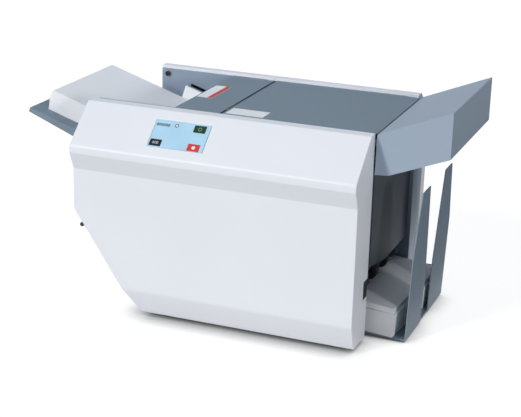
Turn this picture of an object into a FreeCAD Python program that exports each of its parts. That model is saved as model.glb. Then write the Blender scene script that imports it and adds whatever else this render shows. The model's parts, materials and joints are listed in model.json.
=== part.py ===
import FreeCAD, Part
import math
import os

# Desktop paper folding machine with an inclined drop-in feeder, four fold rollers, two fold plates,
# a pair of pressing rollers and a catch tray that stands on the desk.
# Millimetres. +X runs from the feed end to the exit end, +Y from the operator to the back, +Z up.
# The origin is on the desk, under the middle of the machine's box.

Vector = FreeCAD.Vector

# ---- driving dimensions ----
HALF_LENGTH = 358.5          # from the origin to the feed tray's tip, and to the hood's end
HALF_INNER = 125.0           # from the middle plane to the inner edge of each side cover
COVER_LENGTH = 480.0
COVER_TOP = 344.5
COVER_BOTTOM = 8.0
COVER_WALL = 3.0
FRAME_GAP = 0.5              # between a side cover and the frame plate behind it
FRAME_THICKNESS = 3.0
HOOD_REACH = 119.5           # how far the hood stands past the side covers
LETTER_WIDTH = 215.9
LETTER_LENGTH = 279.4
FOLDED_WIDTH = LETTER_LENGTH / 3
STACK_HEIGHT = 34.5
FEED_SLOPE = 17.5            # degrees, falling towards the rollers
FOLD_SLOPE = 22.03           # degrees, rising towards the exit end
FOLD_RADIUS = 15.0
PRESS_RADIUS = 18.0
EXIT_RADIUS = 12.0
FEED_RADIUS = 18.0
SHAFT_RADIUS = 4.0
RUNNING_CLEARANCE = 0.05
NIP_GAP = 0.3                # between two rollers that press on the paper
SHEET = 2.0                  # thickness of the plain sheet-metal parts
PIN_RADIUS = 2.0

# ---- places worked out from them ----
COVER_RIGHT = HALF_LENGTH - HOOD_REACH
COVER_LEFT = COVER_RIGHT - COVER_LENGTH
FRAME_OUTER = HALF_INNER - FRAME_GAP
FRAME_INNER = FRAME_OUTER - FRAME_THICKNESS
FRAME_TOP = COVER_TOP - COVER_WALL - 0.5
FRAME_BOTTOM = 13.0
FRAME_LEFT = COVER_LEFT + 8.0
FRAME_RIGHT = COVER_RIGHT - COVER_WALL - 0.5
CHAMFER_TOP = 176.0          # the lower feed-end corner is cut off from here down
CHAMFER_RUN = 114.0

# Cross-section of a side cover: distance out from its inner edge, and height.
TOP_STRIP = 20.5
RIDGE_DEPTH = 87.5
RIDGE_HIGH = 285.5
RIDGE_LOW = 273.0
WALL_DEPTH = 74.0
WALL_TOP = 244.0
KICK_TOP = 50.0
KICK_DEPTH = 57.5
REAR_TOP_STRIP = 17.0
REAR_TOP = COVER_TOP + 4.0   # the rear cover stands a little higher than the front one
REAR_LEFT = COVER_LEFT + 6.0
REAR_FLANGE = 50.5           # width of the rear frame's flange at the exit end

STACK_CORNER = (COVER_LEFT - 95.0, 309.0)      # lower corner of the paper stack at the tray's tip
ALONG = (math.cos(math.radians(FEED_SLOPE)), -math.sin(math.radians(FEED_SLOPE)))
UPWARD = (math.sin(math.radians(FEED_SLOPE)), math.cos(math.radians(FEED_SLOPE)))
STACK_GAP = 0.3
GUIDE_START = 143.6          # distances along the feed table from the stack's upper end
GUIDE_END = 262.0
GUIDE_HEIGHT = 56.5
GUIDE_SLOT = (149.0, 215.0)
GUIDE_Y = LETTER_WIDTH / 2 + 1.5
FEED_ROLLER_AT = 255.0
STACK_STOP_AT = 281.0

FOLD_DIR = (math.cos(math.radians(FOLD_SLOPE)), math.sin(math.radians(FOLD_SLOPE)))
FOLD_NIP = (COVER_RIGHT - 107.0, 260.5)
FOLD_STEP = 2 * FOLD_RADIUS + NIP_GAP
PRESS_NIP = (COVER_RIGHT - 53.0, 140.0)
EXIT_NIP = (COVER_RIGHT - 23.0, 96.0)
GEAR_Y = (-119.5, -111.5)
ROLLER_HALF = 106.0
GUIDE_SPAN = (-119.5, 119.5)
ROLLER_SPAN = (-109.5, 119.5)          # clear of the gears at the front
TEETH_LARGE = 24
TEETH_PINION = 12

SPLIT_X = COVER_LEFT + 223.9          # middle of the gap between the two top covers
SPLIT_GAP = 4.6
FEED_COVER_LEFT = COVER_LEFT + 144.0
TOP_PLATE = (342.5, COVER_TOP)
FEED_PIN = (SPLIT_X - 8.0, 336.0)
TOP_PIN = (COVER_RIGHT - 11.0, 335.5)
HOOD_LEFT = COVER_RIGHT + 4.0
HOOD_GAP = 1.2               # between the top cover's end and the hood
HOOD_SLOPE = 22.5
HOOD_HALF = 130.0
HOOD_PIN = (HOOD_LEFT + 4.5, 339.2)

TRAY_FACE = COVER_RIGHT + 60.6     # inner face of the catch tray's fingers at their lower end
TRAY_Y = 8.4                 # the catch tray stands this far behind the middle plane
TRAY_BASE = 3.5              # height of the fingers' lower end
TRAY_FLOOR = 5.0             # height of the tray's floor at the fingers
TRAY_SLOPE = 2.9             # degrees, rising towards the machine
FINGER_LEAN = 2.05           # degrees, away from the machine
END_PANEL_FRONT = -96.5     # Y of the step in the panel over the exit slot


# ---- shape helpers ----
def box(x, y, z):
    return Part.makeBox(x[1] - x[0], y[1] - y[0], z[1] - z[0], Vector(x[0], y[0], z[0]))


def rod(centre, radius, y):
    return Part.makeCylinder(radius, y[1] - y[0], Vector(centre[0], y[0], centre[1]), Vector(0, 1, 0))


def mirrored(shape):
    return shape.mirror(Vector(0, 0, 0), Vector(0, 1, 0))


def step(point, direction, distance):
    return (point[0] + direction[0] * distance, point[1] + direction[1] * distance)


def middle(a, b):
    return ((a[0] + b[0]) / 2, (a[1] + b[1]) / 2)


def left_of(direction):
    return (-direction[1], direction[0])


def unit(a, b):
    length = math.hypot(b[0] - a[0], b[1] - a[1])
    return ((b[0] - a[0]) / length, (b[1] - a[1]) / length)


def corner_arc(before, corner, after, radius):
    """The two tangent points and the middle point of an arc that rounds a corner."""
    back = unit(corner, before)
    ahead = unit(corner, after)
    half = math.acos(max(-1.0, min(1.0, back[0] * ahead[0] + back[1] * ahead[1]))) / 2
    start = step(corner, back, radius / math.tan(half))
    end = step(corner, ahead, radius / math.tan(half))
    inward = unit(corner, middle(start, end))
    return start, step(corner, inward, radius / math.sin(half) - radius), end


def outline(corners, place):
    """Closed wire through (u, v) or (u, v, radius) corners, put in space by place(u, v)."""
    edges = []
    count = len(corners)
    stops = []
    for index, corner in enumerate(corners):
        radius = corner[2] if len(corner) > 2 else 0
        if radius:
            arc = corner_arc(corners[index - 1][:2], corner[:2], corners[(index + 1) % count][:2], radius)
            points = [place(*point) for point in arc]
            edges.append((points[0], points[2], Part.Arc(*points).toShape()))
        else:
            point = place(corner[0], corner[1])
            edges.append((point, point, None))
    for index, (_, end, arc) in enumerate(edges):
        following = edges[(index + 1) % count][0]
        if arc:
            stops.append(arc)
        if end.distanceToPoint(following) > 1e-6:
            stops.append(Part.makeLine(end, following))
    return Part.Wire(stops)


def slab_xz(corners, y):
    """Solid with its outline in X and Z, between two values of Y."""
    face = Part.Face(outline(corners, lambda u, v: Vector(u, y[0], v)))
    return face.extrude(Vector(0, y[1] - y[0], 0))


def slab_yz(corners, x):
    face = Part.Face(outline(corners, lambda u, v: Vector(x[0], u, v)))
    return face.extrude(Vector(x[1] - x[0], 0, 0))


def shifted(path, thickness):
    """The path moved to its left by thickness, with mitred corners and matching radii."""
    moved = []
    for index, corner in enumerate(path):
        ahead = unit(corner, path[index + 1]) if index + 1 < len(path) else None
        back = unit(path[index - 1], corner) if index else None
        first = left_of(back or ahead)
        second = left_of(ahead or back)
        scale = thickness / (1 + first[0] * second[0] + first[1] * second[1])
        radius = corner[2] if len(corner) > 2 else 0
        if radius:
            turn = back[0] * ahead[1] - back[1] * ahead[0]
            radius -= math.copysign(thickness, turn)
        moved.append((corner[0] + (first[0] + second[0]) * scale,
                      corner[1] + (first[1] + second[1]) * scale, radius))
    return moved


def bent_sheet(path, thickness, y):
    """Sheet metal that follows a path in X and Z; its thickness lies on the path's left."""
    return slab_xz(list(path) + shifted(path, thickness)[::-1], y)


def incline(along, above):
    """Point over the feed table: distance down the slope, and height above the stack's underside."""
    return step(step(STACK_CORNER, ALONG, along), UPWARD, above)


def table_slab(along, above, y):
    corners = [incline(s, n) for s, n in ((along[0], above[0]), (along[1], above[0]),
                                          (along[1], above[1]), (along[0], above[1]))]
    return slab_xz(corners, y)


def along_at(x, above):
    """Distance down the feed table at which a point this high above it has the given X."""
    return (x - STACK_CORNER[0] - UPWARD[0] * above) / ALONG[0]


# ---- rollers' places ----
FOLD_1 = step(FOLD_NIP, left_of(FOLD_DIR), FOLD_STEP / 2)
FOLD_2 = step(FOLD_NIP, left_of(FOLD_DIR), -FOLD_STEP / 2)
FOLD_3 = step(FOLD_2, unit((0, 0), (3, -4)), FOLD_STEP)
FOLD_4 = step(FOLD_3, unit((0, 0), (-1, -2)), FOLD_STEP)
FOLD_ROLLERS = (FOLD_1, FOLD_2, FOLD_3, FOLD_4)
PRESS_STEP = 2 * PRESS_RADIUS + NIP_GAP
PRESS_FEED = (PRESS_NIP[0] - PRESS_STEP / 2, PRESS_NIP[1])
PRESS_EXIT = (PRESS_NIP[0] + PRESS_STEP / 2, PRESS_NIP[1])
EXIT_STEP = 2 * EXIT_RADIUS + NIP_GAP
EXIT_UPPER = (EXIT_NIP[0], EXIT_NIP[1] + EXIT_STEP / 2)
EXIT_LOWER = (EXIT_NIP[0], EXIT_NIP[1] - EXIT_STEP / 2)
PINION_STEP = PRESS_STEP / 2 * (1 + TEETH_PINION / TEETH_LARGE)
PINION = step(PRESS_FEED, unit((0, 0), (-2, -1)), PINION_STEP)
FEED_AXLE = incline(FEED_ROLLER_AT, -STACK_GAP - FEED_RADIUS)
ROLLER_AXLES = FOLD_ROLLERS + (PRESS_FEED, PRESS_EXIT, EXIT_UPPER, EXIT_LOWER, FEED_AXLE, PINION)
TIE_BARS = [(COVER_LEFT + x, z) for x, z in ((52, 222), (302, 312), (197, 80), (362, 48))]
LEVER_PIVOT = (COVER_LEFT + 92.0, 190.0)
LEVER_END = (COVER_LEFT - 27.6, 118.8)
TRAY_SCREW = (COVER_LEFT + 19.8, 335.2)
FOOT_PLACES = [(COVER_LEFT + x, y) for x in (150.0, 400.0) for y in (-96.0, 96.0)]


# ---- side covers and frames ----
def cover_profile(strip, top, inset):
    """Corners of a side cover's section, moved inwards by inset; the open side is at distance 0."""
    path = [(0.0, top), (strip, top, 3.5), (RIDGE_DEPTH, RIDGE_HIGH, 7.0),
            (RIDGE_DEPTH, RIDGE_LOW, 7.0), (WALL_DEPTH, WALL_TOP, 6.0), (WALL_DEPTH, KICK_TOP, 24.0),
            (KICK_DEPTH, COVER_BOTTOM, 4.0), (0.0, COVER_BOTTOM)]
    if not inset:
        return path
    inner = shifted(path, -inset)
    inner[0] = (-1.0, inner[0][1])
    inner[-1] = (-1.0, inner[-1][1])
    return inner


def side_outline(left, inset):
    """Corners of a side cover seen from the front, moved inwards by inset and open at the top."""
    left += inset
    slant = math.hypot(CHAMFER_TOP - COVER_BOTTOM, CHAMFER_RUN)
    drop = inset * (slant - (CHAMFER_TOP - COVER_BOTTOM)) / CHAMFER_RUN
    run = CHAMFER_RUN / (CHAMFER_TOP - COVER_BOTTOM)
    top_of_chamfer = CHAMFER_TOP + drop
    bottom = COVER_BOTTOM + inset
    foot = left + (top_of_chamfer - bottom) * run
    return [(left, COVER_TOP + 5), (left, top_of_chamfer, 5), (foot, bottom),
            (COVER_RIGHT - inset, bottom), (COVER_RIGHT - inset, COVER_TOP + 5)]


def side_cover(left, strip, top):
    """A side cover on the +Y side: one formed shell, open towards the machine."""
    def body(inset):
        section = [(HALF_INNER + c[0],) + tuple(c[1:]) for c in cover_profile(strip, top, inset)]
        bar = slab_yz(section, (left + inset, COVER_RIGHT - inset))
        return bar.common(slab_xz(side_outline(left, inset), (HALF_INNER - 2, HALF_INNER + 100)))
    return body(0).cut(body(COVER_WALL))


SLOPE_DIR = unit((TOP_STRIP, COVER_TOP), (RIDGE_DEPTH, RIDGE_HIGH))
DISPLAY_X = (COVER_LEFT + 130.3, COVER_LEFT + 223.8)
DISPLAY_DOWN = (18.9, 70.0)


def control_slab(x, down, depth):
    """Block under the slanted control face: a stretch down the slope, between two depths."""
    corners = []
    for s, deep in ((down[0], depth[0]), (down[1], depth[0]), (down[1], depth[1]), (down[0], depth[1])):
        distance, height = step(step((TOP_STRIP, COVER_TOP), SLOPE_DIR, s), left_of(SLOPE_DIR), -deep)
        corners.append((-HALF_INNER - distance, height))
    return slab_yz(corners, x)


def front_cover():
    shell = mirrored(side_cover(COVER_LEFT, TOP_STRIP, COVER_TOP))
    margin = 0.5
    window = control_slab((DISPLAY_X[0] - margin, DISPLAY_X[1] + margin),
                          (DISPLAY_DOWN[0] - margin, DISPLAY_DOWN[1] + margin), (-5, 12))
    notch = box((COVER_RIGHT - 5, COVER_RIGHT + 1), (-HALF_INNER - 20.5, -HALF_INNER + 1), (76.6, 107.6))
    return shell.cut(window).cut(notch)


def rear_flange(inner, gap, x):
    """Flange of the rear frame, or with a gap all round the place for it in the rear cover's end."""
    outer = HALF_INNER + REAR_FLANGE + gap
    return slab_yz([(inner, FRAME_BOTTOM - gap), (outer, FRAME_BOTTOM - gap), (outer, RIDGE_HIGH + 28 + gap),
                    (HALF_INNER + 22 + gap, FRAME_TOP - 2 + gap), (inner, FRAME_TOP - 2 + gap)], x)


def rear_cover():
    """The rear cover makes room for the rear frame's flange; its upper inner edge is turned down."""
    cutout = rear_flange(HALF_INNER - 1, 0.3, (COVER_RIGHT - COVER_WALL - 0.5, COVER_RIGHT + 1))
    shell = side_cover(REAR_LEFT, REAR_TOP_STRIP, REAR_TOP)
    edge = box((REAR_LEFT, COVER_RIGHT), (HALF_INNER, HALF_INNER + 2.5), (FRAME_TOP + 1.5, REAR_TOP - 1))
    return shell.cut(cutout).fuse(edge).removeSplitter()


def hood_ear(y):
    """Ear of a frame plate that reaches past the side cover and holds the hood's pin from below."""
    x, z = HOOD_PIN
    radius = PIN_RADIUS + 1.2
    arm = slab_xz([(FRAME_RIGHT - 10, z - 20), (x, z - 12, 4), (x + radius, z), (x - radius + 1, z - 2),
                   (FRAME_RIGHT - 10, z - 9)], y)
    return arm.fuse(rod(HOOD_PIN, radius, y))


def frame_plate():
    """The frame plate of the +Y side, with its shaft holes, the side guide's slot and the hood's ear."""
    run = CHAMFER_RUN / (CHAMFER_TOP - COVER_BOTTOM)
    foot = FRAME_LEFT + (CHAMFER_TOP + 2 - FRAME_BOTTOM) * run
    y = (FRAME_INNER, FRAME_OUTER)
    step_x = FEED_COVER_LEFT - 2
    raised = FRAME_TOP + 3.2
    plate = slab_xz([(FRAME_LEFT, raised, 2), (FRAME_LEFT, CHAMFER_TOP + 2), (foot, FRAME_BOTTOM),
                     (FRAME_RIGHT, FRAME_BOTTOM), (FRAME_RIGHT, FRAME_TOP), (step_x, FRAME_TOP),
                     (step_x, raised)], y)
    through = (FRAME_INNER - 1, FRAME_OUTER + 1)
    holes = [rod(axle, SHAFT_RADIUS + RUNNING_CLEARANCE, through) for axle in ROLLER_AXLES]
    pins = (FEED_PIN, TOP_PIN, TRAY_SCREW, HOOD_PIN)
    holes += [rod(pin, PIN_RADIUS + RUNNING_CLEARANCE, through) for pin in pins]
    holes.append(rod(LEVER_PIVOT, 3 + RUNNING_CLEARANCE, through))
    holes.append(table_slab(GUIDE_SLOT, (GUIDE_HEIGHT - 2.2, GUIDE_HEIGHT + 3.6), through))
    return plate.fuse(hood_ear(y)).cut(Part.makeCompound(holes)).removeSplitter()


def rear_frame():
    """The rear plate carries a wide flange that closes the exit end behind the rear cover."""
    flange = rear_flange(FRAME_INNER, 0, (FRAME_RIGHT, COVER_RIGHT))
    return frame_plate().fuse(flange).removeSplitter()


def base_plate():
    left = COVER_LEFT + 124
    right = COVER_LEFT + 420
    y = (-FRAME_INNER + 0.5, FRAME_INNER - 0.5)
    plate = box((left, right), y, (FRAME_BOTTOM, FRAME_BOTTOM + 3))
    lips = [box((x, x + 3), y, (FRAME_BOTTOM + 3, FRAME_BOTTOM + 15)) for x in (left, right - 3)]
    return plate.fuse(lips).removeSplitter()


def rubber_feet():
    return Part.makeCompound([Part.makeCone(13, 15, FRAME_BOTTOM, Vector(x, y, 0)) for x, y in FOOT_PLACES])


def tie_bars():
    ends = (-FRAME_INNER + 0.1, FRAME_INNER - 0.1)
    return Part.makeCompound([rod(place, 5, ends) for place in TIE_BARS])


def end_panel():
    """Dark panel over the slot where the folded sheets come out. Its front edge steps back beside the
    front frame, and its lower front corner is cut off."""
    x = COVER_RIGHT - 6
    back = x - 8
    front = -FRAME_INNER + 1
    top = 288
    panel = bent_sheet([(x, 100), (x, top + 2, 3), (x - 12, top + 2)], SHEET, (END_PANEL_FRONT, -front))
    side = box((back, x - 0.5), (END_PANEL_FRONT, END_PANEL_FRONT + SHEET), (100, top))
    strip = box((back, back + SHEET), (front, END_PANEL_FRONT + SHEET), (100, top))
    corner = slab_yz([(front - 1, 98), (front - 1, 115), (front + 26, 115), (front + 118, 98)],
                     (back - 5, x + 5))
    return panel.fuse([side, strip]).cut(corner).removeSplitter()


def infeed_panel():
    """Panel of the feed end, upright at the top and slanted below, with the sockets' holes."""
    y = (-FRAME_INNER + 0.5, FRAME_INNER - 0.5)
    top = (FRAME_LEFT + 0.5, 270)
    panel = bent_sheet([top, (FRAME_LEFT + 0.5, CHAMFER_TOP + 3, 4), (COVER_LEFT + 118, 17.5)], SHEET, y)
    lever_way = box((FRAME_LEFT - 5, COVER_LEFT + 46), (-FRAME_INNER, -FRAME_INNER + 9), (134, 192))
    inlet_hole = box((FRAME_LEFT - 5, FRAME_LEFT + 5), (INLET_Y[0], INLET_Y[1]), (INLET_Z[0], INLET_Z[1]))
    switch_hole = box((FRAME_LEFT - 5, FRAME_LEFT + 5), (SWITCH_Y[0], SWITCH_Y[1]), (INLET_Z[0], INLET_Z[1]))
    return panel.cut(lever_way).cut(inlet_hole).cut(switch_hole)


# ---- power inlet and switch on the feed end ----
INLET_Y = (40.0, 68.0)
INLET_Z = (204.0, 226.0)
SWITCH_Y = (10.0, 24.0)
PANEL_FACE = FRAME_LEFT + 0.5


def power_inlet():
    """Three-pin mains inlet: flange, body with a socket, and its three blades."""
    middle_y = sum(INLET_Y) / 2
    middle_z = sum(INLET_Z) / 2
    flange = box((PANEL_FACE - 2, PANEL_FACE - 0.1), (INLET_Y[0] - 3, INLET_Y[1] + 3),
                 (INLET_Z[0] - 3, INLET_Z[1] + 3))
    body = box((PANEL_FACE - 1, PANEL_FACE + 22), (INLET_Y[0] + 0.3, INLET_Y[1] - 0.3),
               (INLET_Z[0] + 0.3, INLET_Z[1] - 0.3))
    socket = box((PANEL_FACE - 3, PANEL_FACE + 16), (INLET_Y[0] + 2, INLET_Y[1] - 2),
                 (INLET_Z[0] + 2.5, INLET_Z[1] - 2.5))
    blades = [box((PANEL_FACE + 2, PANEL_FACE + 18), (middle_y + dy - 1, middle_y + dy + 1),
                  (middle_z + dz - 2, middle_z + dz + 2)) for dy, dz in ((-7, -1.5), (7, -1.5), (0, 2.5))]
    return flange.fuse(body).cut(socket).fuse(blades).removeSplitter()


def switch_housing():
    flange = box((PANEL_FACE - 1.5, PANEL_FACE - 0.1), (SWITCH_Y[0] - 2, SWITCH_Y[1] + 2),
                 (INLET_Z[0] - 2, INLET_Z[1] + 2))
    body = box((PANEL_FACE - 1, PANEL_FACE + 16), (SWITCH_Y[0] + 0.3, SWITCH_Y[1] - 0.3),
               (INLET_Z[0] + 0.3, INLET_Z[1] - 0.3))
    well = box((PANEL_FACE - 3, PANEL_FACE + 13), (SWITCH_Y[0] + 1.8, SWITCH_Y[1] - 1.8),
               (INLET_Z[0] + 1.8, INLET_Z[1] - 1.8))
    return flange.fuse(body).cut(well).removeSplitter()


SWITCH_PIVOT = (PANEL_FACE + 5.0, sum(INLET_Z) / 2)
SWITCH_TILT = 8.0


def switch_rocker():
    """Rocker with a shallow V face, resting with its upper half pressed in."""
    x, z = SWITCH_PIVOT
    key = slab_xz([(x - 6.5, z - 8.2), (x - 5, z), (x - 6.5, z + 8.2), (x + 1, z + 7), (x + 4, z, 3),
                   (x + 1, z - 7)], (SWITCH_Y[0] + 2.2, SWITCH_Y[1] - 2.2))
    key.rotate(Vector(x, 0, z), Vector(0, 1, 0), SWITCH_TILT)
    return key


# ---- feeder ----
def feed_table():
    """Sloping floor of the hopper, with a window for the feed roller and a turned-down end."""
    start = along_at(COVER_LEFT + 2, 0)
    y = (-FRAME_INNER + 1, FRAME_INNER - 1)
    table = table_slab((start, 292), (-STACK_GAP - SHEET, -STACK_GAP), y)
    lip = table_slab((290, 292), (-STACK_GAP - 12, -STACK_GAP), y)
    window = table_slab((FEED_ROLLER_AT - 22, FEED_ROLLER_AT + 22), (-10, 5), (-32, 32))
    return table.fuse(lip).cut(window).removeSplitter()


def infeed_tray():
    """Tray outside the machine: plate with turned-down rims and a tongue under the feed table."""
    half = HALF_INNER + 8.6
    shallow = 7.5
    deep = 15.8
    first = along_at(-HALF_LENGTH, -shallow)
    last = along_at(COVER_LEFT - 1.5, -STACK_GAP)
    plate = table_slab((first, last), (-STACK_GAP - 1.5, -STACK_GAP), (-half, half))
    rim = slab_xz([incline(first, -STACK_GAP - 0.5), incline(first, -shallow), incline(last, -deep),
                   incline(last, -STACK_GAP - 0.5)], (-half, -half + 1.5))
    end_lip = table_slab((first, first + 1.5), (-shallow, -STACK_GAP), (-half, half))
    tongue = table_slab((last - 3, last + 16), (-STACK_GAP - 4, -STACK_GAP - 2.4), (-100, 100))
    riser = table_slab((last - 3, last - 1.5), (-STACK_GAP - 4, -STACK_GAP - 1), (-100, 100))
    return plate.fuse([rim, mirrored(rim), end_lip, tongue, riser]).removeSplitter()


def tray_screw_pair():
    """Two thumb screws that hold the feed tray's end of the frames, one on each side."""
    head = rod(TRAY_SCREW, 4.6, (FRAME_INNER - 4, FRAME_INNER - 0.05))
    shank = rod(TRAY_SCREW, PIN_RADIUS, (FRAME_INNER - 1, FRAME_OUTER))
    screw = head.fuse(shank)
    return Part.makeCompound([screw, mirrored(screw)])


def paper_guide():
    """Side guide at the paper's rear edge: upright sheet, turned over at its top, with a tongue
    out through the frame."""
    upright = table_slab((GUIDE_START, GUIDE_END), (0.5, GUIDE_HEIGHT), (GUIDE_Y, GUIDE_Y + 1.5))
    top = (GUIDE_HEIGHT - 1.5, GUIDE_HEIGHT)
    flange = table_slab((GUIDE_START, GUIDE_END), top, (GUIDE_Y, GUIDE_Y + 3.6))
    tongue = table_slab((GUIDE_SLOT[0] + 30, GUIDE_SLOT[1] - 12), top, (GUIDE_Y, FRAME_OUTER + 5))
    return upright.fuse([flange, tongue]).removeSplitter()


def paper_stack():
    return table_slab((0, LETTER_LENGTH), (0, STACK_HEIGHT), (-LETTER_WIDTH / 2, LETTER_WIDTH / 2))


def stack_stop():
    """Plate that the stack leans on; only the lowest sheet passes under it."""
    plate = table_slab((STACK_STOP_AT, STACK_STOP_AT + SHEET), (1.2, 62), (-FRAME_INNER + 1, FRAME_INNER - 1))
    shelf = table_slab((STACK_STOP_AT, STACK_STOP_AT + 16), (60, 62), (-FRAME_INNER + 1, FRAME_INNER - 1))
    return plate.fuse(shelf).removeSplitter()


def separator_pad():
    return table_slab((STACK_STOP_AT + 2.05, STACK_STOP_AT + 9), (0.6, 16), (-20, 20))


def feed_tyre():
    return rod(FEED_AXLE, FEED_RADIUS, (-26, 26)).cut(rod(FEED_AXLE, SHAFT_RADIUS, (-27, 27)))


def release_lever():
    """Flat lever that frees the paper, with a round grip and the stub that turns in the front frame."""
    direction = unit(LEVER_PIVOT, LEVER_END)
    side = left_of(direction)
    half = 3.5
    near = step(LEVER_PIVOT, direction, -7)
    corners = [step(near, side, half) + (2.5,), step(near, side, -half) + (2.5,),
               step(LEVER_END, side, -half), step(LEVER_END, side, half)]
    arm = slab_xz(corners, (-FRAME_INNER + 2.0, -FRAME_INNER + 6.0))
    stub = rod(LEVER_PIVOT, 3, (-FRAME_OUTER + 0.1, -FRAME_INNER + 5))
    grip = rod(LEVER_END, 3.6, (-FRAME_INNER + 0.5, -FRAME_INNER + 8.5))
    return arm.fuse(stub).fuse(grip)


# ---- paper path ----
def entry_guide():
    """Lower guide from the feeder down to a valley and up to the first pair of rollers."""
    start = incline(296, -1.0)
    end = step(step(FOLD_NIP, FOLD_DIR, -13), left_of(FOLD_DIR), -1.0)
    fall = math.tan(math.radians(FEED_SLOPE))
    rise = math.tan(math.radians(FOLD_SLOPE))
    valley_x = (start[1] - end[1] + fall * start[0] + rise * end[0]) / (fall + rise)
    valley = (valley_x, start[1] - fall * (valley_x - start[0]), 90)
    return bent_sheet([end, valley, start], 1.5, GUIDE_SPAN)


def fold_plate(origin, direction, first, last, slots):
    """Two flat sheets with a gap for one sheet of paper, joined at their far end and slotted."""
    across = left_of(direction)
    half = LETTER_WIDTH / 2 + 6

    def flat(a, b, low, high, y):
        corners = [step(step(origin, direction, s), across, n)
                   for s, n in ((a, low), (b, low), (b, high), (a, high))]
        return slab_xz(corners, y)

    sheets = [flat(first, last, 1.5, 2.7, (-half, half)), flat(first, last, -2.7, -1.5, (-half, half))]
    closing = [flat(last - 4, last, -2, 2, (y, y + 12)) for y in (-half, half - 12)]
    ways = [flat(slots[0], slots[1], -5, 5, (y - 2, y + 2)) for y in (-40, 40)]
    return sheets[0].fuse(sheets[1:] + closing).cut(Part.makeCompound(ways)).removeSplitter()


def fold_stop(origin, direction, at, side):
    """Stop bar on one face of a fold plate, with two fingers through the plate's slots."""
    across = left_of(direction)

    def block(a, b, low, high, y):
        low, high = sorted((side * low, side * high))
        corners = [step(step(origin, direction, s), across, n)
                   for s, n in ((a, low), (b, low), (b, high), (a, high))]
        return slab_xz(corners, y)

    bar = block(at, at + 14, 3.0, 7.0, (-56, 56))
    fingers = [block(at + 2, at + 8, -4.0, 4.0, (y - 1.6, y + 1.6)) for y in (-40, 40)]
    return bar.fuse(fingers).removeSplitter()


def stop_knob(origin, direction, at, side):
    across = left_of(direction)
    base = step(step(origin, direction, at + 7), across, side * 7.05)
    axis = Vector(across[0] * side, 0, across[1] * side)
    return Part.makeCylinder(9, 11, Vector(base[0], 0, base[1]), axis)


UPPER_PLATE = (14.0, 236.0)
UPPER_SLOTS = (130.0, 222.0)
UPPER_STOP_AT = 168.0
SECOND_NIP = middle(FOLD_2, FOLD_3)
SECOND_DIR = left_of(unit(FOLD_2, FOLD_3))
SECOND_DIR = (-SECOND_DIR[0], -SECOND_DIR[1])
LOWER_PLATE = (16.0, 126.0)
LOWER_SLOTS = (36.0, 112.0)
LOWER_STOP_AT = 60.0
THIRD_NIP = middle(FOLD_3, FOLD_4)


def turn_guide():
    """Outer guide that turns the folded sheet down into the pressing rollers."""
    direction = left_of(unit(FOLD_4, FOLD_3))
    direction = (-direction[0], -direction[1])
    start = step(step(THIRD_NIP, direction, 14), left_of(direction), 4)
    across_x = PRESS_NIP[0] + 4
    bend = (across_x, start[1] + (across_x - start[0]) * direction[1] / direction[0], 14)
    return bent_sheet([start, bend, (across_x, PRESS_NIP[1] + 22)], 1.5, ROLLER_SPAN)


def exit_guide():
    """Lower guide that turns the pressed sheet level, towards the exit rollers."""
    x = PRESS_NIP[0] - 4
    level = EXIT_NIP[1] - 4
    return bent_sheet([(EXIT_NIP[0] - 14, level), (x, level, 14), (x, PRESS_NIP[1] - 20)], 1.5, ROLLER_SPAN)


def roller(axle, radius):
    """Roller and its shaft in one piece."""
    body = rod(axle, radius, (-ROLLER_HALF, ROLLER_HALF))
    return body.fuse(rod(axle, SHAFT_RADIUS, (-FRAME_OUTER + 0.1, FRAME_OUTER - 0.1))).removeSplitter()


def plain_shaft(axle):
    return rod(axle, SHAFT_RADIUS, (-FRAME_OUTER + 0.1, FRAME_OUTER - 0.1))


def tyres(axle, radius):
    rings = []
    for y in (-84, -30, 30, 84):
        ring = rod(axle, radius, (y - 9, y + 9)).cut(rod(axle, SHAFT_RADIUS, (y - 10, y + 10)))
        rings.append(ring)
    return Part.makeCompound(rings)


def gear(axle, pitch_radius, teeth, phase):
    """Spur gear with plain flanks; phase is the angle of the middle of one tooth, in degrees."""
    pitch = 360.0 / teeth
    size = 2 * pitch_radius / teeth
    root, tip = pitch_radius - 1.15 * size, pitch_radius + 0.85 * size
    corners = []
    for tooth in range(teeth):
        for offset, radius in ((-0.33, root), (-0.12, tip), (0.12, tip), (0.33, root)):
            angle = math.radians(phase + (tooth + offset) * pitch)
            corners.append((axle[0] + radius * math.cos(angle), axle[1] + radius * math.sin(angle)))
    return slab_xz(corners, GEAR_Y).cut(rod(axle, SHAFT_RADIUS, (GEAR_Y[0] - 1, GEAR_Y[1] + 1)))


def meshing_phase(from_axle, to_axle, phase, from_teeth, to_teeth):
    """Tooth angle of a gear that meshes with another one, given the other one's tooth angle."""
    toward = math.degrees(math.atan2(to_axle[1] - from_axle[1], to_axle[0] - from_axle[0]))
    lag = (phase - toward) * from_teeth / to_teeth
    return toward + 180.0 - lag + 180.0 / to_teeth


def motor_pinion(phase):
    """Small gear with the end of the motor's shaft in one piece."""
    shaft = rod(PINION, SHAFT_RADIUS, (-FRAME_OUTER + 0.1, -FRAME_INNER + 12))
    wheel = gear(PINION, PRESS_STEP / 2 * TEETH_PINION / TEETH_LARGE, TEETH_PINION, phase)
    return wheel.fuse(shaft).removeSplitter()


def drive_motor():
    """Gear motor bolted to the front frame, inside the front cover."""
    y = (-FRAME_OUTER - 62, -FRAME_OUTER - 0.2)
    body = rod(PINION, 30, (y[0], y[1] - 4))
    flange = box((PINION[0] - 32, PINION[0] + 32), (y[1] - 5, y[1]), (PINION[1] - 32, PINION[1] + 32))
    return body.fuse(flange).removeSplitter()


def control_board():
    return control_slab((DISPLAY_X[0] - 10, DISPLAY_X[1] + 18), (10, 80), (14, 15.6))


def display_panel():
    return control_slab(DISPLAY_X, DISPLAY_DOWN, (0.3, 6.0))


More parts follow.
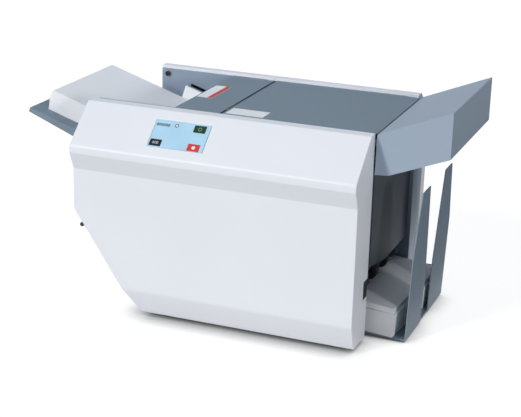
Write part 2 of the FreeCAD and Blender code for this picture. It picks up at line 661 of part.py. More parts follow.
def exit_housing():
    """Black sensor housing; its raised middle fills the notch in the front cover's end."""
    inner = -FRAME_OUTER - 0.1
    back = box((COVER_RIGHT - 18, COVER_RIGHT - COVER_WALL - 0.2), (-HALF_INNER - 24, inner), (72, 113))
    raised = box((COVER_RIGHT - 5, COVER_RIGHT - 0.6), (-HALF_INNER - 20, inner), (77.1, 107.1))
    return back.fuse(raised).removeSplitter()


# ---- top covers ----
def hinged_cover(x, pin, rounding):
    """Flat top cover with two ears that turn on a cross pin; behind the pin it fits between the frames."""
    wide = FRAME_OUTER + 0.1
    narrow = FRAME_INNER - 0.6
    tail = slab_xz([(pin[0] - 9, TOP_PLATE[0]), (x[1], TOP_PLATE[0]), (x[1], TOP_PLATE[1], rounding),
                    (pin[0] - 9, TOP_PLATE[1])], (-narrow, narrow))
    plate = box((x[0], pin[0] - 8), (-wide, wide), TOP_PLATE).fuse(tail)
    low, top = pin[1] - 4.5, TOP_PLATE[0] + 0.5
    ears = [slab_xz([(pin[0] - 6, top), (pin[0] - 4.5, low, 4), (pin[0] + 4.5, low, 4), (pin[0] + 6, top)],
                    (y - 2, y + 2)) for y in (-98, 98)]
    hole = rod(pin, PIN_RADIUS + RUNNING_CLEARANCE, (-110, 110))
    return plate.fuse(ears).cut(hole).removeSplitter()


def feed_cover():
    return hinged_cover((FEED_COVER_LEFT, SPLIT_X - SPLIT_GAP / 2), FEED_PIN, 0)


def top_cover():
    """Its end is rounded, so that it clears the hood's rounded edge as either of them swings."""
    return hinged_cover((SPLIT_X + SPLIT_GAP / 2, HOOD_LEFT - HOOD_GAP), TOP_PIN, 1.9)


def cross_pin(pin):
    return rod(pin, PIN_RADIUS, (-FRAME_OUTER + 0.1, FRAME_OUTER - 0.1))


def label(x, y):
    return box(x, y, (COVER_TOP, COVER_TOP + 0.2))


FEED_LABEL_X = (FEED_COVER_LEFT + 2.5, FEED_COVER_LEFT + 29.5)
FEED_LABEL_Y = (-42.5, 42.5)
TOP_LABEL_X = (SPLIT_X + 6.0, SPLIT_X + 69.0)
TOP_LABEL_Y = (-120.0, -84.5)


# ---- hood ----
def hood():
    """Formed cover over the upper fold plate, open below and towards the machine."""
    top_left = (HOOD_LEFT, COVER_TOP - 0.5)
    rise = math.tan(math.radians(HOOD_SLOPE))
    top_right = (HALF_LENGTH, top_left[1] + rise * (HALF_LENGTH - HOOD_LEFT))
    low_right = (HALF_LENGTH, 319.3)
    bend = (HOOD_LEFT + 21.5, 281.9)
    low_left = (HOOD_LEFT - 1, 280.0)
    outer = slab_xz([top_left + (2,), top_right + (1.2,), low_right, bend, low_left], (-HOOD_HALF, HOOD_HALF))
    drop = SHEET / math.cos(math.radians(HOOD_SLOPE))
    left = HOOD_LEFT - 5
    right = HALF_LENGTH - SHEET
    inner = slab_xz([(left, top_left[1] - drop - 5 * rise), (right, top_right[1] - drop - SHEET * rise),
                     (right, 270), (left, 270)], (-HOOD_HALF + SHEET, HOOD_HALF - SHEET))
    hole = rod(HOOD_PIN, PIN_RADIUS + RUNNING_CLEARANCE, (-HOOD_HALF - 1, HOOD_HALF + 1))
    return outer.cut(inner).cut(hole)


def hood_pins():
    """The pair of pins that the hood turns on, each fast in the ear of a frame plate."""
    pin = rod(HOOD_PIN, PIN_RADIUS, (FRAME_INNER, HOOD_HALF - 0.1))
    return Part.makeCompound([pin, mirrored(pin)])


# ---- catch tray and its pile ----
def catch_tray():
    """Bent sheet beside the machine: sloping floor on four legs, rear wall, two tall leaning fingers."""
    thickness = 1.5
    rise = math.tan(math.radians(TRAY_SLOPE))

    def floor_at(x):
        return TRAY_FLOOR + rise * (TRAY_FACE - x)

    first = TRAY_FACE - 111
    ends = (TRAY_Y - 114.6, TRAY_Y + 114.6)
    floor = bent_sheet([(first, floor_at(first)), (TRAY_FACE + 0.4, floor_at(TRAY_FACE + 0.4))],
                       -thickness, ends)
    legs = [box((x, x + thickness), (y, y + 20), (0, floor_at(x) - 1))
            for x in (TRAY_FACE - 104, TRAY_FACE - 34) for y in (ends[0] + 34, ends[1] - 54)]
    inner = COVER_RIGHT + 2
    wall = slab_xz([(inner, floor_at(inner) - 1), (inner, 48), (inner + 5, 53, 3), (TRAY_FACE + 0.4, 53),
                    (TRAY_FACE + 0.4, TRAY_BASE)], (ends[1] - thickness, ends[1]))
    fingers = []
    for side in (-1, 1):
        spread = ((114.6, TRAY_BASE), (114.6, 144, 40), (92.2, 246.3, 2), (47.8, 246.3), (22.7, 95, 30),
                  (22.7, TRAY_BASE))
        corners = [(TRAY_Y + side * c[0],) + tuple(c[1:]) for c in spread]
        finger = slab_yz(corners, (TRAY_FACE, TRAY_FACE + thickness))
        finger.rotate(Vector(TRAY_FACE, 0, TRAY_BASE), Vector(0, 1, 0), FINGER_LEAN)
        fingers.append(finger)
    return floor.fuse(legs + [wall] + fingers).removeSplitter()


def pile(low, high, tilt, corner):
    """Part of the pile of folded sheets, turned a little about its lower front corner at the exit end."""
    block = box((-FOLDED_WIDTH, 0), (0, LETTER_WIDTH), (0, high - low))
    block.rotate(Vector(0, 0, 0), Vector(0, 1, 0), tilt)
    block.rotate(Vector(0, 0, 0), Vector(0, 0, 1), -4.9)
    block.translate(Vector(corner[0], corner[1], TRAY_FLOOR + 1.1 + low))
    return block


def build():
    """Every node's name and shape."""
    phases = [10.0]
    for here, there in zip(FOLD_ROLLERS, FOLD_ROLLERS[1:]):
        phases.append(meshing_phase(here, there, phases[-1], TEETH_LARGE, TEETH_LARGE))
    press_phase = 4.0
    exit_phase = meshing_phase(PRESS_FEED, PRESS_EXIT, press_phase, TEETH_LARGE, TEETH_LARGE)
    pinion_phase = meshing_phase(PRESS_FEED, PINION, press_phase, TEETH_LARGE, TEETH_PINION)
    nodes = {
        "front_cover": front_cover(),
        "rear_cover": rear_cover(),
        "front_frame": mirrored(frame_plate()),
        "rear_frame": rear_frame(),
        "base_plate": base_plate(),
        "rubber_feet": rubber_feet(),
        "tie_bars": tie_bars(),
        "end_panel": end_panel(),
        "infeed_panel": infeed_panel(),
        "power_inlet": power_inlet(),
        "switch_housing": switch_housing(),
        "switch_rocker": switch_rocker(),
        "feed_table": feed_table(),
        "infeed_tray": infeed_tray(),
        "tray_screws": tray_screw_pair(),
        "rear_guide": paper_guide(),
        "front_guide": mirrored(paper_guide()),
        "paper_stack": paper_stack(),
        "stack_stop": stack_stop(),
        "separator_pad": separator_pad(),
        "feed_shaft": plain_shaft(FEED_AXLE),
        "feed_tyre": feed_tyre(),
        "release_lever": release_lever(),
        "entry_guide": entry_guide(),
        "turn_guide": turn_guide(),
        "exit_guide": exit_guide(),
        "upper_fold_plate": fold_plate(FOLD_NIP, FOLD_DIR, *UPPER_PLATE, UPPER_SLOTS),
        "upper_fold_stop": fold_stop(FOLD_NIP, FOLD_DIR, UPPER_STOP_AT, 1),
        "upper_stop_knob": stop_knob(FOLD_NIP, FOLD_DIR, UPPER_STOP_AT, 1),
        "lower_fold_plate": fold_plate(SECOND_NIP, SECOND_DIR, *LOWER_PLATE, LOWER_SLOTS),
        "lower_fold_stop": fold_stop(SECOND_NIP, SECOND_DIR, LOWER_STOP_AT, 1),
        "lower_stop_knob": stop_knob(SECOND_NIP, SECOND_DIR, LOWER_STOP_AT, 1),
        "press_roller_feed": roller(PRESS_FEED, PRESS_RADIUS),
        "press_roller_exit": roller(PRESS_EXIT, PRESS_RADIUS),
        "press_gear_feed": gear(PRESS_FEED, PRESS_STEP / 2, TEETH_LARGE, press_phase),
        "press_gear_exit": gear(PRESS_EXIT, PRESS_STEP / 2, TEETH_LARGE, exit_phase),
        "motor_pinion": motor_pinion(pinion_phase),
        "drive_motor": drive_motor(),
        "exit_shaft_upper": plain_shaft(EXIT_UPPER),
        "exit_shaft_lower": plain_shaft(EXIT_LOWER),
        "exit_tyres_upper": tyres(EXIT_UPPER, EXIT_RADIUS),
        "exit_tyres_lower": tyres(EXIT_LOWER, EXIT_RADIUS),
        "display_panel": display_panel(),
        "control_board": control_board(),
        "exit_housing": exit_housing(),
        "feed_cover": feed_cover(),
        "feed_cover_pin": cross_pin(FEED_PIN),
        "feed_label": label(FEED_LABEL_X, FEED_LABEL_Y),
        "top_cover": top_cover(),
        "top_cover_pin": cross_pin(TOP_PIN),
        "top_label": label(TOP_LABEL_X, TOP_LABEL_Y),
        "hood": hood(),
        "hood_pins": hood_pins(),
        "catch_tray": catch_tray(),
        "pile_lower": pile(0, 39.4, TRAY_SLOPE, (TRAY_FACE - 20.1, -107.0)),
        "pile_upper": pile(39.7, 49.0, 4.6, (TRAY_FACE - 21.0, -106.0)),
    }
    for number, (axle, phase) in enumerate(zip(FOLD_ROLLERS, phases), start=1):
        wheel = gear(axle, FOLD_STEP / 2, TEETH_LARGE, phase)
        nodes["fold_roller_%d" % number] = roller(axle, FOLD_RADIUS).fuse(wheel).removeSplitter()
    return nodes


os.makedirs("parts", exist_ok=True)
for name, shape in build().items():
    shape.exportStep("parts/%s.step" % name)
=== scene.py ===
import json
import math
import random

import bmesh
import bpy
from mathutils import Matrix, Vector

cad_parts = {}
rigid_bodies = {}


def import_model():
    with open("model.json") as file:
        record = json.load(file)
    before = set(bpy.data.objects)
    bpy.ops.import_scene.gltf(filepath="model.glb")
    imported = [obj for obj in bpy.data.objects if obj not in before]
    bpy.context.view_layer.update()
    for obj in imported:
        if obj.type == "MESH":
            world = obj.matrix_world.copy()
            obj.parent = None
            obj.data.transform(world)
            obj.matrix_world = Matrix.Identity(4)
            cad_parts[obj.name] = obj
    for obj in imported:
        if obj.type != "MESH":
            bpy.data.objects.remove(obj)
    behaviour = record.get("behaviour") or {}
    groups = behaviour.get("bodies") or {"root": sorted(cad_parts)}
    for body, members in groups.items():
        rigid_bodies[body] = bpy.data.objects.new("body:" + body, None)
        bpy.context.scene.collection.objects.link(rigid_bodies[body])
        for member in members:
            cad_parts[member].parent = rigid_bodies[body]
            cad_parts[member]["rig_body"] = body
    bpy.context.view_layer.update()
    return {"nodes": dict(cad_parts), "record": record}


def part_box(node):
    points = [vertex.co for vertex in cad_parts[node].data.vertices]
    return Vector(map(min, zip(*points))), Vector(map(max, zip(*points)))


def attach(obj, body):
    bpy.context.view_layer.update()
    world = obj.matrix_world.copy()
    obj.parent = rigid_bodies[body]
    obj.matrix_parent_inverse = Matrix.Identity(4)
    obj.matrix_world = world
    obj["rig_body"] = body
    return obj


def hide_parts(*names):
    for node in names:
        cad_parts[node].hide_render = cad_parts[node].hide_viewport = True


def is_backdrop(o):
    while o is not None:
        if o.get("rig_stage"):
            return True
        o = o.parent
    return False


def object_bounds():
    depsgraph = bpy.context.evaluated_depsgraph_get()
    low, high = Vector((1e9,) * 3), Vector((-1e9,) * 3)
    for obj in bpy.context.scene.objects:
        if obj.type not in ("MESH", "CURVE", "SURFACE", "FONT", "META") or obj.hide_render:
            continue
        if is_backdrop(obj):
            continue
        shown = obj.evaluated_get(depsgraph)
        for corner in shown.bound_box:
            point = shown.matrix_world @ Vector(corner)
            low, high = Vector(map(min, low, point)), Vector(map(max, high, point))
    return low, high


# A desktop paper folding machine in a plain pale studio. Metres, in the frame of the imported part:
# +X runs from the feed end to the exit end, +Y from the operator to the back, +Z up.

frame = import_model()
random.seed(7)

# ---- camera ----
CAMERA_PLACE = (0.8174, -2.1410, 0.9235)
CAMERA_AZIMUTH = 20.71       # degrees that it stands round to the right of the operator's side
CAMERA_PITCH = 18.64         # degrees looking down
CAMERA_ROLL = 1.72           # degrees
CAMERA_REACH = 100.0
SENSOR = 36.0                # width in mm
LENS = 98.42                 # mm

# ---- studio sizes ----
FLOOR_REACH = 30.0           # from the origin to each side of the floor
WALL_AWAY = 28.0             # radius of the round wall
WALL_HEIGHT = 4.7
WALL_SIDES = 64
CARD_LEFT = 0.345            # the dark card on the floor
CARD_RIGHT = 3.0
CARD_FRONT = -0.30
CARD_BACK = 5.0
CARD_LIFT = 0.001

# ---- edges ----
SHEET_EDGE = 0.0005          # rounding of bent sheet metal's cut edges
RIM_EDGE = 0.0009            # rounding of the hood's and the infeed tray's edges
SOFT_EDGE = 0.001            # rounding of rubber and moulded pieces
COVER_EDGE = 0.0012          # rounding of the side covers' edges
LOUVRE_EDGE = 0.0003
SHARP = 32                   # degrees between two faces from which their edge counts as sharp
SHARP_ROUND = 40             # the same on screw heads and folded letters
SHARP_KNURL = 30             # the same on the knurled screws
FLAT = 1.0                   # degrees between two faces up to which they are made one
WELD = 0.000001              # corners this close are made one

# ---- sizes the scene needs for its own pieces ----
MM = 0.001
COVER_LEFT = -0.241          # the front cover's end at the feed side
COVER_RIGHT = 0.239          # the side covers' end at the exit side
REAR_WALL = 0.199            # outside of the rear cover's wall
SLANT_TOP = (-0.1455, 0.3445)      # Y and Z where the front cover's slant starts
SLANT_DOWN = (-0.7505, -0.6609)    # down the slant, in Y and Z
SLANT_OUT = (-0.6609, 0.7505)      # out of the slant
DISPLAY_DEPTH = 0.0003       # how far the display lies under the slant
FRAME_INNER = 0.1215         # inner faces of the frame plates
LETTER_WIDTH = 0.2159
LETTER_LENGTH = 0.2794
FOLDED_WIDTH = LETTER_LENGTH / 3
STACK_CORNER = (-0.336, 0.309)     # X and Z of the stack's lower corner at the tray's tip
STACK_SLOPE = math.radians(17.5)
STACK_UP = (0.3007, 0.0, 0.9537)   # square to the stack's sheets
STACK_HEIGHT = 0.0345
STACK_LAYERS = 46            # each drawn layer stands for a few sheets
STACK_BULGE = 0.0034         # how far its upper middle has slid towards the tray's tip
SHEET_INSET = 0.00035        # most that a layer's edge stands back
TOP_SHEET_INSET = 0.0001
TRAY_FACE = COVER_RIGHT + 0.0606   # inner face of the catch tray's fingers at their lower end
PILE_FLOOR = 0.0061          # height of the pile's lower corner
PILE_TURN = -4.9             # degrees that the pile lies turned in the catch tray
LETTER_INSET = 0.0007        # most that a letter's ends and one of its folds stand back
FOLD_INSET = 0.0006          # the same for the fold at the exit side


# ---- shader helpers ----
class Socket:
    """A shader output that Python arithmetic works on."""

    def __init__(self, tree, output):
        self.tree = tree
        self.output = output

    def math(self, operation, *others):
        values = dict(enumerate((self,) + others))
        return self.tree.node("ShaderNodeMath", {"operation": operation}, values)[0]

    def __add__(self, other):
        return self.math("ADD", other)

    def __mul__(self, other):
        return self.math("MULTIPLY", other)

    def __rsub__(self, other):
        return (self * -1.0) + other

    __radd__ = __add__
    __rmul__ = __mul__

    def ramp(self, low, high):
        """Smooth step from 0 at low to 1 at high."""
        return self.tree.node("ShaderNodeMapRange", {"interpolation_type": "SMOOTHSTEP"},
                              {"Value": self, "From Min": low, "From Max": high})["Result"]


class Tree:
    """A material's or the world's node tree."""

    def __init__(self, owner):
        owner.use_nodes = True
        self.nodes = owner.node_tree.nodes
        self.links = owner.node_tree.links
        self.nodes.clear()

    def node(self, kind, settings=None, inputs=None):
        """Makes a node and gives its outputs, by name or number."""
        made = self.nodes.new(kind)
        for name, value in (settings or {}).items():
            setattr(made, name, value)
        for name, value in (inputs or {}).items():
            if isinstance(value, Socket):
                self.links.new(value.output, made.inputs[name])
            else:
                made.inputs[name].default_value = value
        outputs = {o.name: Socket(self, o) for o in made.outputs}
        outputs.update({index: Socket(self, o) for index, o in enumerate(made.outputs)})
        return outputs

    def place(self):
        """Position on the piece, in metres."""
        return self.node("ShaderNodeTexCoord")["Object"]

    def noise(self, scale, detail=2.0, stretch=(1, 1, 1)):
        """Noise between 0 and 1 whose grains are about 1/scale metres wide."""
        place = self.node("ShaderNodeMapping", None, {"Vector": self.place(), "Scale": stretch})[0]
        return self.node("ShaderNodeTexNoise", None, {"Vector": place, "Scale": scale, "Detail": detail})[0]

    def mix(self, amount, first, second):
        """Colour between two colours."""
        return self.node("ShaderNodeMix", {"data_type": "RGBA"},
                         {"Factor": amount, 6: first, 7: second})[2]

    def bump(self, height, depth):
        """Normal for a height between 0 and 1 that stands for a depth in metres."""
        return self.node("ShaderNodeBump", None, {"Height": height, "Strength": 1.0, "Distance": depth})[0]

    def surface(self, shader):
        self.node("ShaderNodeOutputMaterial", None, {"Surface": shader})

    def principled(self, **inputs):
        named = {name.replace("_", " "): value for name, value in inputs.items()}
        self.surface(self.node("ShaderNodeBsdfPrincipled", None, named)[0])


def colour(code):
    """Linear colour of an sRGB hex code."""
    parts = [int(code[i:i + 2], 16) / 255 for i in (0, 2, 4)]
    return tuple(c / 12.92 if c < 0.04045 else ((c + 0.055) / 1.055) ** 2.4 for c in parts) + (1.0,)


def shade(rgba, factor):
    """Colour made lighter or darker."""
    return tuple(c * factor for c in rgba[:3]) + (1.0,)


def enamel(name, base, rough, metallic=0.0, grain=900.0, depth=0.00001, coat=0.0):
    """Painted sheet metal or moulding: faint clouding, fine grain in the gloss and the surface."""
    material = bpy.data.materials.new(name)
    tree = Tree(material)
    clouds = tree.noise(6.0)
    fine = tree.noise(grain, 3.0)
    tree.principled(Base_Color=tree.mix(clouds, shade(base, 0.975), shade(base, 1.025)),
                    Roughness=rough - 0.04 + clouds * 0.04 + fine * 0.06, Metallic=metallic,
                    Coat_Weight=coat, Coat_Roughness=0.25, Normal=tree.bump(fine, depth))
    return material


def brushed(name, base, rough):
    """Ground or brushed steel with fine lines along Y."""
    material = bpy.data.materials.new(name)
    tree = Tree(material)
    lines = tree.noise(1.0, 4.0, (2600.0, 30.0, 2600.0))
    clouds = tree.noise(14.0)
    tree.principled(Base_Color=tree.mix(lines, shade(base, 0.86), shade(base, 1.08)), Metallic=1.0,
                    Roughness=rough + lines * 0.12 + clouds * 0.05, Normal=tree.bump(lines, 0.000004))
    return material


def moulded(name, base, rough, grain=1800.0, depth=0.000012):
    """Moulding, rubber, film, glass, lacquer, print or felt: faint clouding and a fine even grain."""
    material = bpy.data.materials.new(name)
    tree = Tree(material)
    fine = tree.noise(grain, 2.0)
    clouds = tree.noise(25.0)
    tree.principled(Base_Color=tree.mix(clouds, shade(base, 0.85), shade(base, 1.15)),
                    Roughness=rough - 0.05 + fine * 0.1, Normal=tree.bump(fine, depth))
    return material


def paper(name, base, up):
    """Office paper: faint fibres, and fine lines on the sides of sheets that lie on each other along up."""
    material = bpy.data.materials.new(name)
    tree = Tree(material)
    edges = tree.noise(1.0, 3.0, tuple(30.0 + 5200.0 * abs(c) for c in up))
    fibres = tree.noise(700.0, 4.0)
    normal = tree.node("ShaderNodeNewGeometry")["Normal"]
    facing = tree.node("ShaderNodeVectorMath", {"operation": "DOT_PRODUCT"}, {0: normal, 1: up})["Value"]
    side = 1.0 - facing.math("ABSOLUTE").ramp(0.5, 0.9)
    lines = edges.ramp(0.3, 0.7) * side
    tree.principled(Base_Color=tree.mix(lines, base, shade(base, 0.93)), Roughness=0.86 + fibres * 0.08,
                    Normal=tree.bump(fibres * 0.3 + lines, 0.00003))
    return material


# ---- finishes ----
WHITE = colour("ebedf2")
GREY = colour("9caaba")
FRAME_GREY = colour("92a1b2")
LID_GREY = colour("7a8b99")
# DARK: grey of the end panel at the exit end, partly its own darker paint and partly painted shade of the
# exit recess
DARK = colour("3f4a53")
MATERIALS = {
    "white_paint": enamel("white_enamel", WHITE, 0.46, coat=0.04),
    "grey_paint": enamel("grey_powder_coat", GREY, 0.5, metallic=0.12, grain=1500.0, depth=0.00002),
    "lid_paint": enamel("lid_powder_coat", LID_GREY, 0.5, metallic=0.05, grain=1500.0, depth=0.00001),
    "frame_paint": enamel("frame_powder_coat", FRAME_GREY, 0.36, metallic=0.25, grain=1500.0, depth=0.00001),
    # end panel: dark paint that also paints in the shade of the exit recess
    "dark_paint": enamel("dark_coat_with_painted_shade", DARK, 0.5, metallic=0.1, grain=1500.0, depth=0.00002),
    "guide_paint": enamel("guide_enamel", colour("f9fafb"), 0.4),
    "bright_steel": brushed("ground_steel", colour("b4b8bd"), 0.24),
    "black_plastic": moulded("black_moulding", colour("212429"), 0.45),
    "gear_plastic": moulded("gear_moulding", colour("d8d6cc"), 0.4),
    "black_paint": enamel("black_enamel", colour("26282c"), 0.4),
    "rubber": moulded("ground_rubber", colour("232325"), 0.75),
    "paper": paper("office_paper", colour("f6f8fb"), STACK_UP),
    "label": moulded("label_film", colour("eff1f4"), 0.6),
    "display": moulded("display_glass", colour("b4dcf2"), 0.22, 90.0, 0.0),
    "circuit_board": moulded("board_lacquer", colour("1f6b42"), 0.35),
}
PILE_PAPER = paper("folded_paper", colour("fafbfd"), (0.0, 0.0, 1.0))
INK = moulded("print_black", colour("101317"), 0.35)
PRINT_WHITE = moulded("print_white", colour("f4f6f8"), 0.35)
PRINT_RED = moulded("print_red", colour("d23a2c"), 0.55)
PRINT_GREEN = moulded("print_green", colour("123d1c"), 0.35)
PRINT_PALE_GREEN = moulded("print_pale_green", colour("a9c4a6"), 0.35)
DARK_STEEL = brushed("blackened_steel", colour("3c3f44"), 0.38)
FINISHES = {"feed_cover": "lid_paint", "top_cover": "lid_paint", "infeed_tray": "lid_paint",
            "rear_frame": "frame_paint", "front_frame": "frame_paint", "catch_tray": "lid_paint"}

slots = {entry["node"]: entry["material_slot"] for entry in frame["record"]["subparts"]}


def finish_of(node):
    """Material of a node: its own finish where it has one, or that of its slot."""
    if node.startswith("exit_shaft"):
        return DARK_STEEL
    return MATERIALS[FINISHES.get(node, slots[node])]


for node, piece in frame["nodes"].items():
    piece.data.materials.clear()
    piece.data.materials.append(finish_of(node))


# ---- mesh helpers ----
def body_of(node):
    return frame["nodes"][node]["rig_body"]


def added(name, data):
    """New object in the scene's collection."""
    thing = bpy.data.objects.new(name, data)
    bpy.context.scene.collection.objects.link(thing)
    return thing


def new_piece(name, mesh, material, body):
    piece = added(name, mesh)
    mesh.materials.clear()
    mesh.materials.append(material)
    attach(piece, body)
    return piece


def smooth(mesh, degrees=SHARP):
    mesh.polygons.foreach_set("use_smooth", [True] * len(mesh.polygons))
    mesh.set_sharp_from_angle(angle=math.radians(degrees))


def bevel(piece, width, segments=2):
    modifier = piece.modifiers.new("edge", "BEVEL")
    modifier.width = width
    modifier.segments = segments
    modifier.limit_method = "ANGLE"
    modifier.angle_limit = math.radians(SHARP)
    modifier.harden_normals = True


def softened(node, width, segments=2):
    """Copy of a CAD node whose cut edges are rounded; it is shown in the node's place."""
    source = frame["nodes"][node]
    mesh = bpy.data.meshes.new(node + "_soft")
    work = bmesh.new()
    work.from_mesh(source.data)
    bmesh.ops.remove_doubles(work, verts=work.verts, dist=WELD)
    bmesh.ops.dissolve_limit(work, angle_limit=math.radians(FLAT), verts=work.verts, edges=work.edges)
    work.to_mesh(mesh)
    work.free()
    piece = new_piece(node + "_soft", mesh, finish_of(node), body_of(node))
    smooth(mesh)
    bevel(piece, width, segments)
    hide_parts(node)


def mesh_of(name, build):
    """Mesh made by a function that fills a bmesh."""
    mesh = bpy.data.meshes.new(name)
    work = bmesh.new()
    build(work)
    bmesh.ops.recalc_face_normals(work, faces=work.faces)
    work.to_mesh(mesh)
    work.free()
    return mesh


def fitted(name, build, material, node):
    """Piece made by a function that fills a bmesh; it moves with a CAD node."""
    return new_piece(name, mesh_of(name, build), material, body_of(node))


def add_prism(work, outline, place, low, high):
    """Prism over an outline of (u, v) points; place(u, v, w) puts a point in space."""
    rings = [[work.verts.new(place(u, v, w)) for u, v in outline] for w in (low, high)]
    work.faces.new(rings[0])
    work.faces.new(rings[1])
    for a, b, c, d in zip(rings[0], rings[0][1:] + rings[0][:1], rings[1][1:] + rings[1][:1], rings[1]):
        work.faces.new((a, b, c, d))


def add_lathe(work, profile, centre, axis, count, knurl=0.0):
    """Turned body from (distance along the axis, radius) pairs, closed at both ends.

    knurl is the share of the radius by which every second line along it stands back.
    """
    turn = Vector(axis).to_track_quat("Z", "Y").to_matrix()
    rings = []
    for height, radius in profile:
        ring = []
        for index in range(count):
            angle = 2 * math.pi * index / count
            size = radius * (1 - knurl * (index % 2))
            spot = turn @ Vector((size * math.cos(angle), size * math.sin(angle), height))
            ring.append(work.verts.new(Vector(centre) + spot))
        rings.append(ring)
    for one, two in zip(rings, rings[1:]):
        for index in range(count):
            following = (index + 1) % count
            work.faces.new((one[index], one[following], two[following], two[index]))
    work.faces.new(rings[0])
    work.faces.new(rings[-1])


def rounded(left, right, low, high, radius, steps=5):
    """Outline of a rectangle with rounded corners."""
    corners = ((right - radius, high - radius, 0), (left + radius, high - radius, 90),
               (left + radius, low + radius, 180), (right - radius, low + radius, 270))
    points = []
    for u, v, first in corners:
        for index in range(steps + 1):
            angle = math.radians(first + 90 * index / steps)
            points.append((u + radius * math.cos(angle), v + radius * math.sin(angle)))
    return points


def oval(u, v, width, height, count=28):
    """Outline of an oval round (u, v)."""
    turns = [2 * math.pi * k / count for k in range(count)]
    return [(u + width / 2 * math.cos(turn), v + height / 2 * math.sin(turn)) for turn in turns]


def add_ring(work, u, v, width, height, stroke, place, low, high):
    """Flat oval ring between two heights."""
    outer = oval(u, v, width, height)
    inner = oval(u, v, width - 2 * stroke, height - 2 * stroke)
    count = len(outer)
    loops = [[work.verts.new(place(a, b, w)) for a, b in points]
             for points, w in ((outer, low), (outer, high), (inner, high), (inner, low))]
    for one, two in zip(loops, loops[1:] + loops[:1]):
        for index in range(count):
            following = (index + 1) % count
            work.faces.new((one[index], one[following], two[following], two[index]))


# ---- rounded edges of the CAD pieces ----
for node in ("front_cover", "rear_cover"):
    softened(node, COVER_EDGE, 3)
softened("hood", RIM_EDGE)
softened("infeed_tray", RIM_EDGE, 3)
for node in ("feed_cover", "top_cover", "catch_tray", "end_panel", "rear_guide", "front_guide",
             "rear_frame", "front_frame", "infeed_panel", "exit_housing", "switch_housing", "power_inlet",
             "release_lever"):
    softened(node, SHEET_EDGE)
for node in ("rubber_feet", "upper_stop_knob", "lower_stop_knob", "exit_tyres_upper", "exit_tyres_lower",
             "feed_tyre", "switch_rocker"):
    softened(node, SOFT_EDGE, 3)


# ---- display ----
# Places and sizes here are in millimetres. A place is the distance from the cover's feed end and the
# distance down the slant, and a size is width, height and stroke. Lifts over the glass are in metres.
PRINT_LIFT = 0.00006
DISC_LIFT = 0.00005
KEY_LIFT = 0.00012
SIGN_LIFT = 0.00018          # top of the sign on a key
NOUGHTS = 6
NOUGHT_PLACE = (134.2, 27.6)
NOUGHT_PITCH = 3.9
NOUGHT_SIZE = (3.5, 5.4, 1.15)
RING_PLACE = (167.0, 26.5)
RING_SIZE = (6.6, 6.6, 1.3)
DISC_WIDTH = 4.0
KEY_CORNER = 1.0
KEYS = {"start_key": ((196.8, 217.2, 21.0, 34.6), PRINT_GREEN, PRINT_PALE_GREEN),
        "reset_key": ((132.0, 151.8, 55.7, 68.2), INK, PRINT_WHITE),
        "stop_key": ((196.8, 217.4, 55.9, 69.2), PRINT_RED, PRINT_WHITE)}
START_SIGN_SIZE = (6.4, 6.4, 0.7)
STOP_SIGN_SIZE = (6.4, 6.4, 1.0)
STOP_SQUARE = 1.6            # half its side
STOP_SQUARE_CORNER = 0.3
RESET_SIGN_SIZE = (3.2, 4.4, 0.45)
RESET_SIGN_PLACES = (-3.6, 0.0, 3.6)


def on_slant(x, down, lift):
    """Point of the control face, in metres: along it, down the slant and over the display."""
    out = lift - DISPLAY_DEPTH
    return Vector((COVER_LEFT + x, SLANT_TOP[0] + SLANT_DOWN[0] * down + SLANT_OUT[0] * out,
                   SLANT_TOP[1] + SLANT_DOWN[1] * down + SLANT_OUT[1] * out))


def printed(name, build, material):
    """Print on the display's glass."""
    return fitted(name, build, material, "display_panel")


def add_print_ring(work, place, size, low, high):
    (u, v), (width, height, stroke) = place, size
    add_ring(work, u * MM, v * MM, width * MM, height * MM, stroke * MM, on_slant, low, high)


def counter(work):
    """Plain noughts of the sheet counter."""
    u, v = NOUGHT_PLACE
    for index in range(NOUGHTS):
        add_print_ring(work, (u + NOUGHT_PITCH * index, v), NOUGHT_SIZE, 0.0, PRINT_LIFT)


def counter_ring(work):
    add_print_ring(work, RING_PLACE, RING_SIZE, 0.0, PRINT_LIFT)


def counter_disc(work):
    u, v = RING_PLACE
    add_prism(work, oval(u * MM, v * MM, DISC_WIDTH * MM, DISC_WIDTH * MM), on_slant, 0.0, DISC_LIFT)


def key_sign(name, centre, work):
    """Plain sign on a key: a ring, three small rings, or a ring round a square."""
    u, v = centre
    top = (KEY_LIFT, SIGN_LIFT)
    if name == "reset_key":
        for shift in RESET_SIGN_PLACES:
            add_print_ring(work, (u + shift, v), RESET_SIGN_SIZE, *top)
    elif name == "start_key":
        add_print_ring(work, centre, START_SIGN_SIZE, *top)
    else:
        add_print_ring(work, centre, STOP_SIGN_SIZE, *top)
        sides = (u - STOP_SQUARE, u + STOP_SQUARE, v - STOP_SQUARE, v + STOP_SQUARE)
        square = rounded(*(side * MM for side in sides), STOP_SQUARE_CORNER * MM)
        add_prism(work, square, on_slant, *top)


def display_keys():
    for name, (sides, material, tint) in KEYS.items():
        left, right, low, high = sides
        centre = ((left + right) / 2, (low + high) / 2)
        outline = rounded(*(side * MM for side in sides), KEY_CORNER * MM)
        printed(name, lambda work: add_prism(work, outline, on_slant, 0.0, KEY_LIFT), material)
        printed(name + "_sign", lambda work: key_sign(name, centre, work), tint)


printed("sheet_counter", counter, INK)
printed("counter_ring", counter_ring, INK)
printed("counter_disc", counter_disc, PRINT_WHITE)
display_keys()


# ---- labels ----
STRIPE_START = 0.0085        # from the label's end to the stripe's far edge
STRIPE_MARGIN = 0.0004
STRIPE_LIFT = 0.00005


def label_stripe(work):
    low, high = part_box("feed_label")
    left, right = high.x - STRIPE_START, high.x - STRIPE_MARGIN
    front, back = low.y + STRIPE_MARGIN, high.y - STRIPE_MARGIN
    add_prism(work, [(left, front), (right, front), (right, back), (left, back)],
              lambda u, v, w: Vector((u, v, w)), high.z, high.z + STRIPE_LIFT)


fitted("feed_label_stripe", label_stripe, PRINT_RED, "feed_label")


